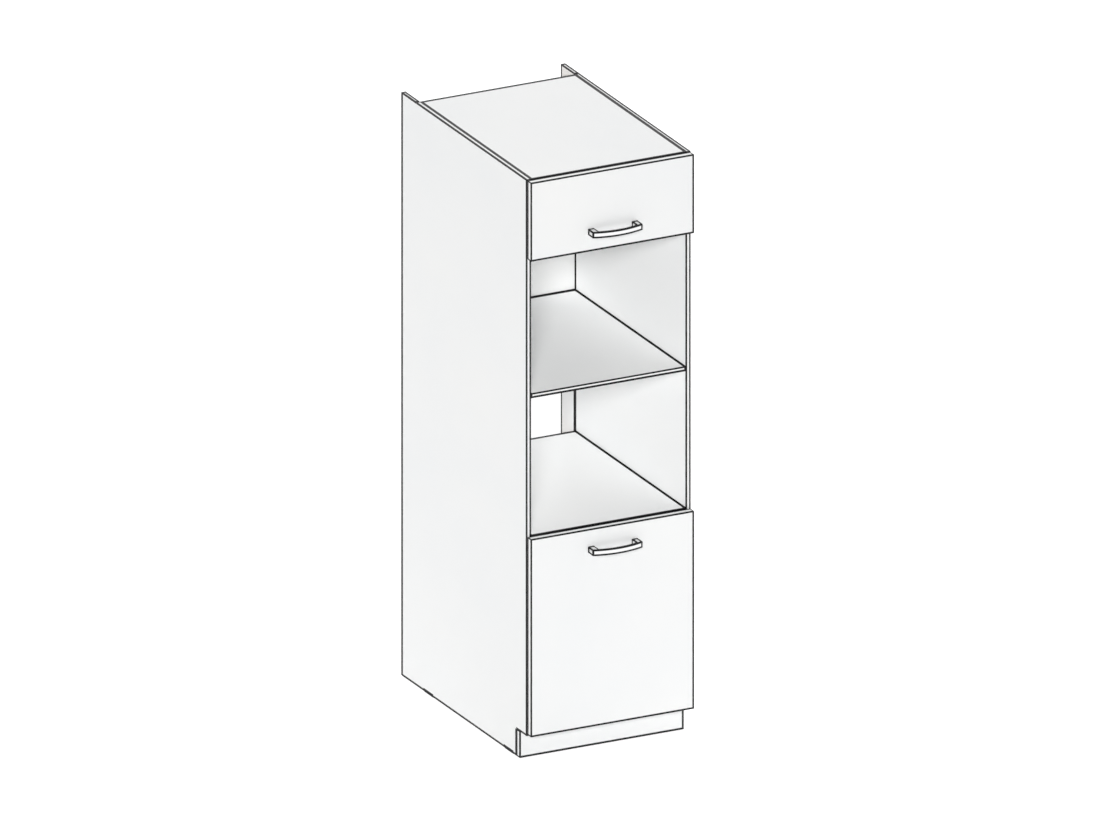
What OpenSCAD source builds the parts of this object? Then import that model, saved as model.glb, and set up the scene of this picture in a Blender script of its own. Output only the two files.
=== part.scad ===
// Tall housing unit for built-in kitchen appliances: two open niches between a lift-up
// flap above and a hinged door below, on a carcass of coated boards.
// The origin lies at the middle of the footprint, on the floor. The front faces -Y.

/* [Carcass] */
// Width over the two side panels
width = 600; // [500:10:800]
// Depth of the side panels, without the fronts
depth = 552; // [500:1:600]
// Height of the side panels
side_h = 2100; // [2000:10:2200]
// Thickness of the carcass boards
board_t = 16; // [15:0.5:18]
// Depth of the void behind the back panels
void_d = 60.5; // [40:0.5:80]
// Distance of the deck front edges behind the side edges
deck_setback = 1.5; // [1:0.5:3]
// Height of the glides under the side panels
glide_t = 3; // [2:0.5:5]
// Clear height of the lower niche
oven_niche_h = 493; // [440:1:560]

/* [Plinth] */
// Height of the notch for the plinth board
plinth_h = 96; // [80:1:130]
// Depth of the notch for the plinth board
notch_d = 46; // [40:1:60]
// Thickness of the plinth board
plinth_t = 16; // [15:0.5:18]

/* [Fronts] */
// Thickness of the door and the flap
front_t = 16; // [16:0.5:19]
// Chamfer along every edge of the door and the flap
front_ease = 0.8; // [0.4:0.1:1.6]
// Gap between the side edges and the closed fronts
front_gap = 2; // [2:0.1:2.4]
// Distance of the fronts inside the outline of the carcass
reveal = 1.5; // [1.5:0.1:2]
// Distance of the fronts from the niche faces of the decks
niche_reveal = 2; // [1:0.5:3]
// Gap between the door and the top of the notch
door_lift = 5; // [3:1:8]
// Height of the door
door_h = 713; // [640:1:760]
// Height of the flap
flap_h = 284; // [270:1:340]

/* [Back panels] */
// Thickness of the back panels
back_t = 3; // [2.5:0.1:4]
// Depth of the grooves for the back panels
groove_d = 10; // [6:1:11]
// Play of a back panel in its groove, on each face
groove_play = 0.15; // [0.1:0.05:0.3]

/* [Handles] */
// Distance between the two screws of a handle
handle_pitch = 160; // [96:32:192]
// Height of a handle, and of its posts
handle_h = 22; // [16:1:28]
// Width of a handle post
post_w = 21; // [16:1:26]
// Depth of a handle post
post_d = 22.5; // [20:0.5:28]
// Thickness of the handle bar
bar_t = 5; // [4:0.5:7]
// Further reach of the bar at the middle of its bow
bow_rise = 10; // [6:1:16]
// Chamfer along the outer edges of a handle
handle_ease = 0.6; // [0.3:0.1:1]
// Distance of the handle axis from the edge of its front
handle_inset = 72; // [50:1:100]

/* [Hinges] */
// Distance of the hinge axis from each end of a front
hinge_inset = 100; // [80:5:120]
// Radius of the bore for a hinge cup
cup_bore_r = 17.5; // [17.4:0.05:17.6]
// Depth of the bore for a hinge cup
cup_bore_d = 12; // [11.9:0.1:12.4]
// Distance of the cup bore from the edge of the front
cup_edge = 4; // [4:0.1:4.4]
// Distance of the plate screws behind the side edges
plate_row = 37; // [32:1:42]

/* [Struts] */
// Radius of the strut tube
tube_r = 7.5; // [7.5:0.5:8.5]
// Radius of the piston rod
rod_r = 3; // [2.5:0.5:3.5]
// Length of the strut tube
tube_l = 120; // [112:1:130]
// Distance of the strut axis from the side panel
strut_off = 12; // [11:0.5:15]

/* [Adjustable shelf] */
// Radius of the shelf pins
pin_r = 2.5; // [2.5:0.25:3.5]
// Pitch of the shelf pin holes
hole_pitch = 32; // [32:1:40]
// Number of shelf pin holes in a column
hole_rows = 5; // [3:2:7]
// Distance of the shelf front edge behind the side edges
shelf_setback = 25; // [20:1:60]

/* [Hidden] */
$fn = 48;

// Overlap that makes a cut run clear through a face
cut = 1;
// Clearance of a screw or pin in its own bore
fit = 0.1;
// Clearance between pieces that pass each other
gap = 0.3;
// Free depth under a bolt or a dowel, and under a screw
bore_end = 0.5;
screw_end = 1;
// Gap between the rear edge of a deck and the line of the grooves
deck_play = 0.2;

// Levels, from the bottom edge of the side panels
bottom_z = plinth_h;
niche_floor_z = plinth_h + door_lift + door_h + niche_reveal - board_t;
shelf_z = niche_floor_z + board_t + oven_niche_h;
top_z = side_h - board_t;
flap_z = side_h - reveal - flap_h;
flap_floor_z = flap_z - niche_reveal;
door_z = plinth_h + door_lift;
decks = [bottom_z, niche_floor_z, shelf_z, flap_floor_z, top_z];

// Plan sizes
inner_w = width - 2 * board_t;
groove_w = back_t + 2 * groove_play;
groove_y = depth - void_d - groove_w;
deck_back = groove_y - deck_play;
deck_d = deck_back - deck_setback;
front_w = width - 2 * reveal;
bow_l = handle_pitch + post_w;
front_face = front_gap + front_t;
reach = front_face + post_d + bow_rise;
y_front = (reach - depth) / 2;

// Joint fittings between a side panel and a deck
cam_r = 7.5;
cam_h = 12.5;
cam_in = 24;
cam_slot = [5, 0.6, 2.2];
bolt_r = 3;
bolt_neck_r = 2.2;
bolt_thread_r = 2.4;
bolt_head_r = 3.6;
bolt_head_l = 3;
bolt_shank_l = 12;
bolt_grip = 11;
bolt_room = 0.4;
dowel_r = 4;
dowel_l = 30;
dowel_in = 11;
fitting_in = 60;
fitting_rows = [fitting_in, deck_back - fitting_in];
dowel_offset = 32;

// Adjustable shelf
shelf_gap = 1;
lower_shelf_w = inner_w - 2 * shelf_gap;
lower_shelf_d = deck_back - shelf_setback - 2 * shelf_gap;
hole_mid_z = (bottom_z + board_t + niche_floor_z) / 2;
hole_depth = 11;
pin_grip = 10;
pin_stand = 9;
pin_collar_t = 0.8;
pin_collar_w = 1.2;
hole_front = 37;
hole_back = 50;
hole_columns = [shelf_setback + hole_front, deck_back - hole_back];

// Back panels
back_play = 0.5;
back_lift = 1;
back_drop = 2;

// Glides
glide_l = 43;
glide_w = 13;
glide_front = 58;
glide_back = 411;
nail_r = 1.4;
nail_l = 12;

// Plinth fixing
block = 18;
block_h = 40;
block_wall = 4;
block_pocket = 12;
block_screw_in = 9.9;
plinth_screw_r = 1.9;
plinth_screw_rise = 10;
plinth_screw_end = 6;
plinth_head_r = 3.4;

// Wall brackets
bracket_t = 2;
bracket_w = 30;
bracket_leg = 40;
bracket_drop = 110;
bracket_z = side_h - bracket_drop;
bracket_screw_in = 22;
bracket_screw_w = 9;
bracket_screw_r = 2.4;
bracket_head_r = 4;
wall_hole_r = 3.25;
wall_hole_in = 14;

// Small screws
screw_head_h = 2.4;
screw_slot_w = 0.5;
screw_slot_d = 1.2;
screw_slot_reach = 0.6;
euro_r = 2.5;
euro_l = 10;
euro_head_r = 4.2;
handle_screw_r = 2;
handle_bore_r = 2.5;
handle_head_r = 4;

// Cup hinge, seen along its axis: u runs inward from the outline of the carcass, and f
// forward from the side edges. The four pivots are those of the closed hinge.
cup_u = reveal + cup_edge + cup_bore_r;
cup_play = 0.2;
cup_r = cup_bore_r - cup_play;
cup_wall = 0.7;
cup_floor_t = 1;
cup_floor_f = front_gap + cup_bore_d - cup_play - cup_floor_t;
flange_t = 1.2;
flange_w = 1.5;
flange_end_r = 5;
boss_h = 12;
outer_in = 11.3;
outer_deep = 3.4;
inner_in = 6.4;
inner_deep = 5.1;
link_u = 22.3;
link_back = 15.4;
link_fore = 3.1;
cup_outer = [cup_u - outer_in, front_gap + outer_deep];
cup_inner = [cup_u - inner_in, front_gap + inner_deep];
arm_outer = cup_outer + [link_u, -link_back];
arm_inner = cup_outer + [link_u, link_fore];
knee_a = cup_outer + [5.8, 3.6];
knee_b = cup_outer + [14, 2.9];
inner_eye = cup_outer + [5.3, 2.95];
pin_hinge_r = 1.2;
pin_play = 0.05;
link_half = 1.9;
link_step = 0.12;
eye_r = 2.4;
open_eye_r = 3.9;
open_hole_r = 2.85;
// Layers of the hinge along its axis: tongue, inner links, outer links, bosses
tongue_w = 2.2;
inner_link = [2.5, 3.7];
outer_link = [4.2, 5.4];
boss_from = 5.8;
cup_screw_r = 1.7;
cup_screw_at = [9.5, 22.5];
cup_screw_l = 9;
cup_head_r = 3.2;

// Arm and mounting plate
arm_w = 8;
arm_t = 1.2;
arm_front_in = 3.5;
arm_front = arm_outer[1] - arm_front_in;
arm_back = -74;
tongue_r = 2.6;
tongue_l = 9;
arm_top = arm_outer[0] + tongue_r;
arm_lift = 8.5;
arm_low = board_t + arm_lift;
arm_rise = 0.4;
nose_l = 14;
nose_tilt = 62;
plate_t = 2;
plate_end_r = 6.5;
plate_back = 27;
plate_front = 16;
rail_front = 13;
rail_play = 0.15;
rail_drop = 0.2;
rail_half = arm_w - arm_t - rail_play;
plate_screw_w = 16;
fix_screw_r = 2.9;
fix_screw_f = -62;
adjust_screw_f = -46;
arm_screw_l = 9;

// Hinge places
door_hinges = [door_z + hinge_inset, door_z + door_h - hinge_inset];
flap_hinge_x = front_w / 2 - hinge_inset;

// Gas struts, in the u and f of a hinge at the top edge
strut_x = inner_w / 2 - strut_off;
root_drop = 94;
root_back = 185;
stud_in = 43.5;
stud_deep = 16;
strut_root = [root_drop + board_t, -root_back];
flap_stud = [stud_in + reveal, front_gap - stud_deep];
strut_vec = flap_stud - strut_root;
strut_len = norm(strut_vec);
strut_tilt = atan2(strut_vec[1], strut_vec[0]);
tube_from = 14;
tube_wall = 1;
tube_bore = tube_r - tube_wall;
tube_base = 2;
gland_l = 7;
gland_step = 1;
piston_l = 6;
piston_rest = 3;
// Turn of the front on its links, and of the links on the arm, when the flap is fully open
front_turn = 128;
link_turn = -32;
open_stud = turned(turned(flap_stud, cup_outer, front_turn), arm_outer, link_turn);
// Travel of the rod between the closed and the open flap
rod_travel = norm(open_stud - strut_root) - strut_len;
piston_from = tube_from + tube_l - gland_l - rod_travel - piston_l - piston_rest;
rod_end_r = 5;
rod_end_w = rod_r + fit;
rod_eye_r = 2.6;
ball_r = 4;
stud_r = 2.5;
socket_r = 6.5;
socket_h = 10;
socket_mouth_r = 3.4;
neck_r = 4.5;
strut_plate_t = 2;
strut_plate_r = 8;
strut_plate_w = 14;
cheek_t = 2;
cheek_r = 7;
cheek_out = 3;
flap_plate_l = 38;
flap_plate_t = 2;
flap_plate_w = 5;
flap_screw_u = 12;
flap_screw_in = 7;

// Bumpers under the fronts
bumper_r = 4;
bumper_t = front_gap - gap;

// Point turned about another
function turned(p, c, a) = c + [cos(a) * (p[0] - c[0]) - sin(a) * (p[1] - c[1]),
  sin(a) * (p[0] - c[0]) + cos(a) * (p[1] - c[1])];

white = [0.95, 0.95, 0.94];
edge_white = [0.9, 0.9, 0.89];
hdf_white = [0.93, 0.93, 0.92];
steel = [0.72, 0.73, 0.75];
dark_steel = [0.45, 0.46, 0.48];
satin = [0.86, 0.87, 0.88];
beech = [0.8, 0.66, 0.46];
plastic = [0.88, 0.88, 0.86];
black = [0.15, 0.15, 0.16];

// Frames

// x across from the middle, y back from the front edges of the sides, z up from their bottom edges
module carcass() { translate([0, y_front, glide_t]) children(); }

// Both sides of the middle plane
module both() { children(); mirror([1, 0, 0]) children(); }

// Hinge frame at the right edge of the door: x is u, y is f, z is up
module at_door_hinges() {
  for (z = door_hinges) translate([width / 2, y_front, glide_t + z]) rotate([0, 0, 180]) children();
}

// The same frame turned to the top edge: x is u and runs down, z runs to the left
module at_top(x) {
  translate([x, y_front, glide_t + side_h])
    multmatrix([[0, 0, -1, 0], [0, -1, 0, 0], [-1, 0, 0, 0], [0, 0, 0, 1]]) children();
}

module at_flap_hinges() { for (s = [-1, 1]) at_top(s * flap_hinge_x) children(); }

// Basic forms

// Block from its lowest to its highest corner
module span(low, high) { translate(low) cube(high - low); }

// Outline of a rectangle with chamfered corners
module eased_outline(w, h, c) {
  polygon([[c, 0], [w - c, 0], [w, c], [w, h - c], [w - c, h], [c, h], [0, h - c], [0, c]]);
}

// Block from its lowest to its highest corner, with a chamfer along every edge
module eased_span(low, high, c) {
  size = high - low;
  translate(low) intersection() {
    linear_extrude(size[2]) eased_outline(size[0], size[1], c);
    translate([0, size[1], 0]) rotate([90, 0, 0]) linear_extrude(size[1]) eased_outline(size[0], size[2], c);
    rotate([90, 0, 90]) linear_extrude(size[0]) eased_outline(size[1], size[2], c);
  }
}

// Cylinder along x that starts at a point
module rod_x(p, r, l) { translate(p) rotate([0, 90, 0]) cylinder(r = r, h = l); }

// Cylinder along y that starts at a point
module rod_y(p, r, l) { translate(p) rotate([-90, 0, 0]) cylinder(r = r, h = l); }

// Cylinder about a point of the hinge plane, between two heights
module post(p, r, low, high) { translate([p[0], p[1], low]) cylinder(r = r, h = high - low); }

// Straight bar with round ends between two points of the hinge plane
module bar(p, q, r, low, high) {
  post(p, r, low, high);
  post(q, r, low, high);
  translate([p[0], p[1], low]) rotate([0, 0, atan2(q[1] - p[1], q[0] - p[0])])
    translate([0, -r, 0]) cube([norm(q - p), 2 * r, high - low]);
}

// Straight part of a link, a little narrower than its round ends
module leg(p, q, r, low, high) {
  translate([p[0], p[1], low]) rotate([0, 0, atan2(q[1] - p[1], q[0] - p[0])])
    translate([0, -r + link_step, 0]) cube([norm(q - p), 2 * (r - link_step), high - low]);
}

// Pan head screw along -x with its seat at the origin
module pan_screw(r, l, head_r) {
  rod_x([-l, 0, 0], r, l + cut);
  difference() {
    rod_x([0, 0, 0], head_r, screw_head_h);
    for (a = [0, 90]) rotate([a, 0, 0])
      span([screw_head_h - screw_slot_d, -screw_slot_w, -head_r * screw_slot_reach],
        [screw_head_h + cut, screw_slot_w, head_r * screw_slot_reach]);
  }
}

// Carcass boards

// Bores of one deck in the inner face of the right side panel
module deck_bores(z) {
  for (y = fitting_rows) {
    rod_x([inner_w / 2 - cut, y, z + board_t / 2], bolt_thread_r + fit, bolt_grip + bore_end + cut);
    rod_x([inner_w / 2 - cut, y + dowel_offset * (y < depth / 2 ? 1 : -1), z + board_t / 2],
      dowel_r + fit, dowel_in + bore_end + cut);
  }
}

// Right side panel, with every bore on its inner face
module side_panel() {
  x0 = inner_w / 2;
  difference() {
    translate([x0, 0, 0]) rotate([90, 0, 90]) linear_extrude(board_t)
      polygon([[notch_d, 0], [depth, 0], [depth, side_h], [0, side_h], [0, plinth_h], [notch_d, plinth_h]]);
    span([x0 - cut, groove_y, -cut], [x0 + groove_d, groove_y + groove_w, side_h + cut]);
    for (z = decks) deck_bores(z);
    for (y = hole_columns, k = [0:hole_rows - 1])
      rod_x([x0 - cut, y, hole_mid_z + (k - (hole_rows - 1) / 2) * hole_pitch], pin_r + fit, hole_depth + cut);
    for (z = door_hinges, w = [-1, 1])
      rod_x([x0 - cut, plate_row, z + w * plate_screw_w], euro_r + fit, euro_l + screw_end + cut);
    for (w = [-1, 1])
      rod_x([x0 - cut, -strut_root[1], side_h - strut_root[0] + w * strut_plate_w], euro_r + fit,
        euro_l + screw_end + cut);
    for (w = [-1, 1])
      rod_x([x0 - cut, depth - bracket_screw_in, bracket_z + w * bracket_screw_w], bracket_screw_r + fit,
        euro_l + screw_end + cut);
    for (y = [glide_front, glide_back])
      translate([x0 + board_t / 2, y + glide_l / 2, -cut])
        cylinder(r = nail_r + fit, h = nail_l + screw_end + cut);
    rod_x([x0 - cut, notch_d + block / 2, plinth_h / 2 - plinth_screw_rise], plinth_screw_r + fit,
      euro_l + screw_end + cut);
  }
}

module side_right() { color(white) carcass() side_panel(); }
module side_left() { color(white) carcass() mirror([1, 0, 0]) side_panel(); }

// One fixed deck, with the bores for its cams, bolts and dowels
module deck(z) {
  difference() {
    span([-inner_w / 2, deck_setback, z], [inner_w / 2, deck_back, z + board_t]);
    both() for (y = fitting_rows) {
      translate([inner_w / 2 - cam_in, y, z - cut]) cylinder(r = cam_r + fit, h = cam_h + gap + cut);
      rod_x([inner_w / 2 - cam_in, y, z + board_t / 2], bolt_head_r + bolt_room, cam_in + cut);
      rod_x([inner_w / 2 - dowel_l + dowel_in - bore_end, y + dowel_offset * (y < depth / 2 ? 1 : -1),
        z + board_t / 2], dowel_r + fit, dowel_l + cut);
    }
  }
}

module middle_shelf() { color(white) carcass() deck(shelf_z); }
module niche_floor() { color(white) carcass() deck(niche_floor_z); }
module flap_floor() { color(white) carcass() deck(flap_floor_z); }

// The flap's hinge plates are screwed up into the top panel
module top_panel() {
  color(white) difference() {
    carcass() deck(top_z);
    at_flap_hinges() for (w = [-1, 1])
      rod_x([board_t - euro_l - screw_end, -plate_row, w * plate_screw_w], euro_r + fit,
        euro_l + screw_end + cut);
  }
}

module bottom_panel() { color(white) carcass() deck(bottom_z); }

module lower_shelf() {
  z = hole_mid_z + pin_r + fit;
  color(white) carcass()
    span([-lower_shelf_w / 2, shelf_setback, z],
      [lower_shelf_w / 2, shelf_setback + lower_shelf_d, z + board_t]);
}

// Back panel behind the decks, from one height to another
module back(low, high) {
  half = inner_w / 2 + groove_d - back_play;
  span([-half, groove_y + groove_play, low], [half, groove_y + groove_play + back_t, high]);
}

module upper_back() { color(hdf_white) carcass() back(shelf_z + back_lift, side_h - board_t / 2); }
module lower_back() {
  color(hdf_white) carcass() back(bottom_z + back_lift, niche_floor_z + board_t - back_drop);
}

// Toe board in front of the notch, screwed to the corner blocks
module plinth_board() {
  color(white) carcass() difference() {
    span([-width / 2, notch_d - plinth_t, 0], [width / 2, notch_d, plinth_h]);
    both() rod_y([inner_w / 2 - block_screw_in, notch_d - plinth_t + plinth_screw_end,
      plinth_h / 2 + plinth_screw_rise], plinth_screw_r + fit, plinth_t);
  }
}

module plinth_blocks() {
  z = plinth_h / 2 - block_h / 2;
  color(plastic) carcass() both() difference() {
    span([inner_w / 2 - block, notch_d, z], [inner_w / 2, notch_d + block, z + block_h]);
    span([inner_w / 2 - block - cut, notch_d + block_wall, z + block_wall],
      [inner_w / 2 - block_wall, notch_d + block + cut, z + block_wall + block_pocket]);
    rod_y([inner_w / 2 - block_screw_in, notch_d - cut, plinth_h / 2 + plinth_screw_rise], plinth_screw_r + fit,
      block + 2 * cut);
    rod_x([inner_w / 2 - block - cut, notch_d + block / 2, plinth_h / 2 - plinth_screw_rise],
      plinth_screw_r + fit, block + 2 * cut);
  }
}

// One screw from each block into the plinth, and one into the side
module plinth_screws() {
  color(steel) carcass() both() {
    translate([inner_w / 2 - block_wall, notch_d + block / 2, plinth_h / 2 - plinth_screw_rise])
      mirror([1, 0, 0]) pan_screw(plinth_screw_r, block_wall + euro_l - screw_end, plinth_head_r);
    translate([inner_w / 2 - block_screw_in, notch_d + block, plinth_h / 2 + plinth_screw_rise])
      rotate([0, 0, 90]) pan_screw(plinth_screw_r, block + plinth_t / 2, plinth_head_r);
  }
}

// Fittings

module shelf_pins() {
  color(steel) carcass() both() for (y = hole_columns) {
    rod_x([inner_w / 2 - pin_stand, y, hole_mid_z], pin_r, pin_stand + pin_grip);
    rod_x([inner_w / 2 - pin_collar_t, y, hole_mid_z], pin_r + pin_collar_w, pin_collar_t);
  }
}

// Cam discs in the undersides of the decks, each with its cross slot and the mouth for the bolt
module cams() {
  color(steel) carcass() for (z = decks) both() for (y = fitting_rows)
    translate([inner_w / 2 - cam_in, y, z]) difference() {
      cylinder(r = cam_r, h = cam_h);
      rod_x([-bolt_head_r, 0, board_t / 2], bolt_head_r + gap, cam_r + bolt_head_r + cut);
      for (a = [45, 135]) rotate([0, 0, a]) span([-cam_slot[0], -cam_slot[1], -cut], cam_slot);
    }
}

module cam_bolts() {
  color(steel) carcass() for (z = decks) both() for (y = fitting_rows) {
    at = [inner_w / 2 - cam_in - bolt_head_l / 2, y, z + board_t / 2];
    rod_x(at, bolt_head_r, bolt_head_l);
    rod_x(at, bolt_neck_r, cam_in + bolt_head_l / 2);
    rod_x([inner_w / 2 - bolt_shank_l, y, z + board_t / 2], bolt_r, bolt_shank_l);
    rod_x([inner_w / 2, y, z + board_t / 2], bolt_thread_r, bolt_grip);
  }
}

module dowels() {
  color(beech) carcass() for (z = decks) both() for (y = fitting_rows)
    rod_x([inner_w / 2 - dowel_l + dowel_in, y + dowel_offset * (y < depth / 2 ? 1 : -1), z + board_t / 2],
      dowel_r, dowel_l);
}

// Nailed glides, chamfered at both ends
module glides() {
  color(black) carcass() both() for (y = [glide_front, glide_back])
    translate([inner_w / 2 + (board_t - glide_w) / 2, y, 0]) {
      rotate([90, 0, 90]) linear_extrude(glide_w)
        polygon([[0, 0], [glide_l, 0], [glide_l - glide_t, -glide_t], [glide_t, -glide_t]]);
      translate([glide_w / 2, glide_l / 2, -cut]) cylinder(r = nail_r, h = nail_l + cut);
    }
}

// Steel angles in the void, one leg on the side panel and one along the wall
module wall_brackets() {
  color(steel) carcass() both() difference() {
    union() {
      span([inner_w / 2 - bracket_t, depth - bracket_leg, bracket_z - bracket_w / 2],
        [inner_w / 2, depth, bracket_z + bracket_w / 2]);
      span([inner_w / 2 - bracket_leg, depth - bracket_t, bracket_z - bracket_w / 2],
        [inner_w / 2, depth, bracket_z + bracket_w / 2]);
    }
    for (w = [-1, 1]) rod_x([inner_w / 2 - bracket_t - cut, depth - bracket_screw_in,
      bracket_z + w * bracket_screw_w], bracket_screw_r + fit, bracket_t + 2 * cut);
    rod_y([inner_w / 2 - bracket_leg + wall_hole_in, depth - bracket_t - cut, bracket_z], wall_hole_r,
      bracket_t + 2 * cut);
  }
}

module wall_bracket_screws() {
  color(steel) carcass() both() for (w = [-1, 1])
    translate([inner_w / 2 - bracket_t, depth - bracket_screw_in, bracket_z + w * bracket_screw_w])
      mirror([1, 0, 0]) pan_screw(bracket_screw_r, euro_l + bracket_t, bracket_head_r);
}

// Cup hinge, in its own frame

module hinge_plate() {
  difference() {
    union() {
      bar([0, -plate_screw_w], [0, plate_screw_w], plate_end_r, 0, plate_t);
      span([-plate_back, -rail_half, 0], [plate_front, rail_half, plate_t]);
      span([-plate_back, -rail_half, 0], [rail_front, rail_half, arm_top - arm_t - rail_drop - board_t]);
    }
    for (w = [-1, 1]) post([0, w * plate_screw_w], euro_r + fit, -cut, plate_t + cut);
    post([fix_screw_f + plate_row, 0], fix_screw_r + fit, plate_t, arm_top);
    post([adjust_screw_f + plate_row, 0], fix_screw_r + fit, plate_t, arm_top);
  }
}

// The plate lies on its board: local x is f, y is w, z is away from the board
module plate_frame() {
  translate([board_t, -plate_row, 0]) multmatrix([[0, 0, 1, 0], [1, 0, 0, 0], [0, 1, 0, 0], [0, 0, 0, 1]])
    children();
}

// Pressed steel arm over the rail, with a tongue that carries the two fixed pivots
module hinge_arm() {
  low = board_t + plate_t + arm_rise;
  difference() {
    union() {
      difference() {
        span([arm_low, arm_back, -arm_w], [arm_top, arm_front, arm_w]);
        span([arm_low - cut, arm_back - cut, -arm_w + arm_t], [arm_top - arm_t, arm_front - 4, arm_w - arm_t]);
        // Sloped nose in front of the plate
        translate([arm_low, arm_front - nose_l, -arm_w - cut]) rotate([0, 0, nose_tilt])
          translate([-30, 0, 0]) cube([60, 30, 2 * arm_w + 2 * cut]);
        // Rounded tail
        difference() {
          span([low, arm_back - cut, -arm_w - cut], [arm_top + cut, arm_back + arm_w, arm_w + cut]);
          translate([low - cut, arm_back + arm_w, 0]) rotate([0, 90, 0])
            cylinder(r = arm_w, h = arm_top - low + 3 * cut);
        }
      }
      bar(arm_outer + [0, -tongue_l], arm_outer, tongue_r, -tongue_w, tongue_w);
      bar(arm_outer, arm_inner, tongue_r, -tongue_w, tongue_w);
    }
    for (p = [arm_outer, arm_inner]) post(p, pin_hinge_r + 0.02, -arm_w, arm_w);
    for (f = [fix_screw_f, adjust_screw_f])
      rod_x([arm_top - arm_t - cut, f, 0], fix_screw_r + fit, arm_t + 2 * cut);
  }
}

module hinge_pins() {
  post(arm_outer, pin_hinge_r, -outer_link[1] - 0.2, outer_link[1] + 0.2);
  post(arm_inner, pin_hinge_r, -inner_link[1] - 0.2, inner_link[1] + 0.2);
}

// Plate screws, and the fixing and adjusting screws of the arm
module plate_screws() {
  plate_frame() {
    for (w = [-1, 1]) translate([0, w * plate_screw_w, plate_t]) rotate([0, -90, 0])
      pan_screw(euro_r, euro_l + plate_t, euro_head_r);
  }
  for (f = [fix_screw_f, adjust_screw_f])
    translate([arm_top, f, 0]) pan_screw(fix_screw_r, arm_screw_l, euro_head_r);
}

// Pair of cheeks bent round the rim of the cup
module outer_links() {
  for (s = [-1, 1]) scale([1, 1, s]) difference() {
    union() {
      leg(cup_outer, knee_a, link_half, outer_link[0], outer_link[1]);
      leg(knee_a, knee_b, link_half, outer_link[0], outer_link[1]);
      leg(knee_b, arm_outer, link_half, outer_link[0], outer_link[1]);
      for (p = [knee_a, knee_b]) post(p, link_half, outer_link[0], outer_link[1]);
      for (p = [cup_outer, arm_outer]) post(p, eye_r, outer_link[0], outer_link[1]);
    }
    for (p = [cup_outer, arm_outer]) post(p, pin_hinge_r + pin_play, outer_link[0] - cut, outer_link[1] + cut);
  }
}

// Pair of straight cheeks, whose cup end has a wide eye
module inner_links() {
  for (s = [-1, 1]) scale([1, 1, s]) difference() {
    union() {
      leg(inner_eye, arm_inner, link_half, inner_link[0], inner_link[1]);
      post(inner_eye, open_eye_r, inner_link[0], inner_link[1]);
      post(arm_inner, eye_r, inner_link[0], inner_link[1]);
    }
    post(arm_inner, pin_hinge_r + pin_play, inner_link[0] - cut, inner_link[1] + cut);
    post(inner_eye, open_hole_r, inner_link[0] - cut, inner_link[1] + cut);
  }
}

// Drawn steel cup with its flange, pivot bosses and middle ear
module hinge_cup() {
  c = [cup_u, front_gap, 0];
  floor_h = cup_floor_f - front_gap;
  difference() {
    union() {
      rod_y(c - [0, flange_t, 0], cup_r, floor_h + cup_floor_t + flange_t);
      rod_y(c - [0, flange_t, 0], cup_r + flange_w, flange_t);
      difference() {
        translate(c) rotate([90, 0, 0])
          bar([cup_screw_at[0], -cup_screw_at[1]], cup_screw_at, flange_end_r, 0, flange_t);
        for (s = [-1, 1]) rod_y(c + [cup_screw_at[0], -flange_t - cut, s * cup_screw_at[1]],
          cup_screw_r + fit, flange_t + 2 * cut);
      }
    }
    rod_y(c - [0, flange_t + cut, 0], cup_r - cup_wall, floor_h + flange_t + cut);
  }
  intersection() {
    rod_y(c, cup_r - cup_wall + 0.05, floor_h + 0.05);
    difference() {
      union() {
        for (s = [-1, 1]) scale([1, 1, s]) bar(cup_outer, cup_outer + [0, boss_h], eye_r, boss_from, cup_r);
        bar(cup_inner, cup_inner + [0, boss_h], eye_r, -tongue_w, tongue_w);
      }
      post(cup_outer, pin_hinge_r + 0.02, -boss_from - 2.5, boss_from + 2.5);
      post(cup_inner, pin_hinge_r + 0.02, -tongue_w - cut, tongue_w + cut);
    }
  }
}

// Stub pins of the outer links, and the pin of the inner links
module cup_pins() {
  for (s = [-1, 1]) scale([1, 1, s]) post(cup_outer, pin_hinge_r, inner_link[1] + 0.25, boss_from + 2.3);
  post(cup_inner, pin_hinge_r, -inner_link[1], inner_link[1]);
}

module cup_screws() {
  for (s = [-1, 1]) translate([cup_u + cup_screw_at[0], front_gap - flange_t, s * cup_screw_at[1]])
    rotate([0, 0, -90]) pan_screw(cup_screw_r, cup_screw_l, cup_head_r);
}

module door_hinge_plates() { color(steel) at_door_hinges() plate_frame() hinge_plate(); }
module door_hinge_arms() { color(satin) at_door_hinges() hinge_arm(); }
module door_hinge_pins() { color(dark_steel) at_door_hinges() hinge_pins(); }
module door_plate_screws() { color(dark_steel) at_door_hinges() plate_screws(); }
module door_outer_links() { color(steel) at_door_hinges() outer_links(); }
module door_inner_links() { color(steel) at_door_hinges() inner_links(); }
module door_hinge_cups() { color(satin) at_door_hinges() hinge_cup(); }
module door_cup_pins() { color(dark_steel) at_door_hinges() cup_pins(); }
module door_cup_screws() { color(dark_steel) at_door_hinges() cup_screws(); }

module flap_hinge_plates() { color(steel) at_flap_hinges() plate_frame() hinge_plate(); }
module flap_hinge_arms() { color(satin) at_flap_hinges() hinge_arm(); }
module flap_hinge_pins() { color(dark_steel) at_flap_hinges() hinge_pins(); }
module flap_plate_screws() { color(dark_steel) at_flap_hinges() plate_screws(); }
module flap_outer_links() { color(steel) at_flap_hinges() outer_links(); }
module flap_inner_links() { color(steel) at_flap_hinges() inner_links(); }
module flap_hinge_cups() { color(satin) at_flap_hinges() hinge_cup(); }
module flap_cup_pins() { color(dark_steel) at_flap_hinges() cup_pins(); }
module flap_cup_screws() { color(dark_steel) at_flap_hinges() cup_screws(); }

// Fronts

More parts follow.
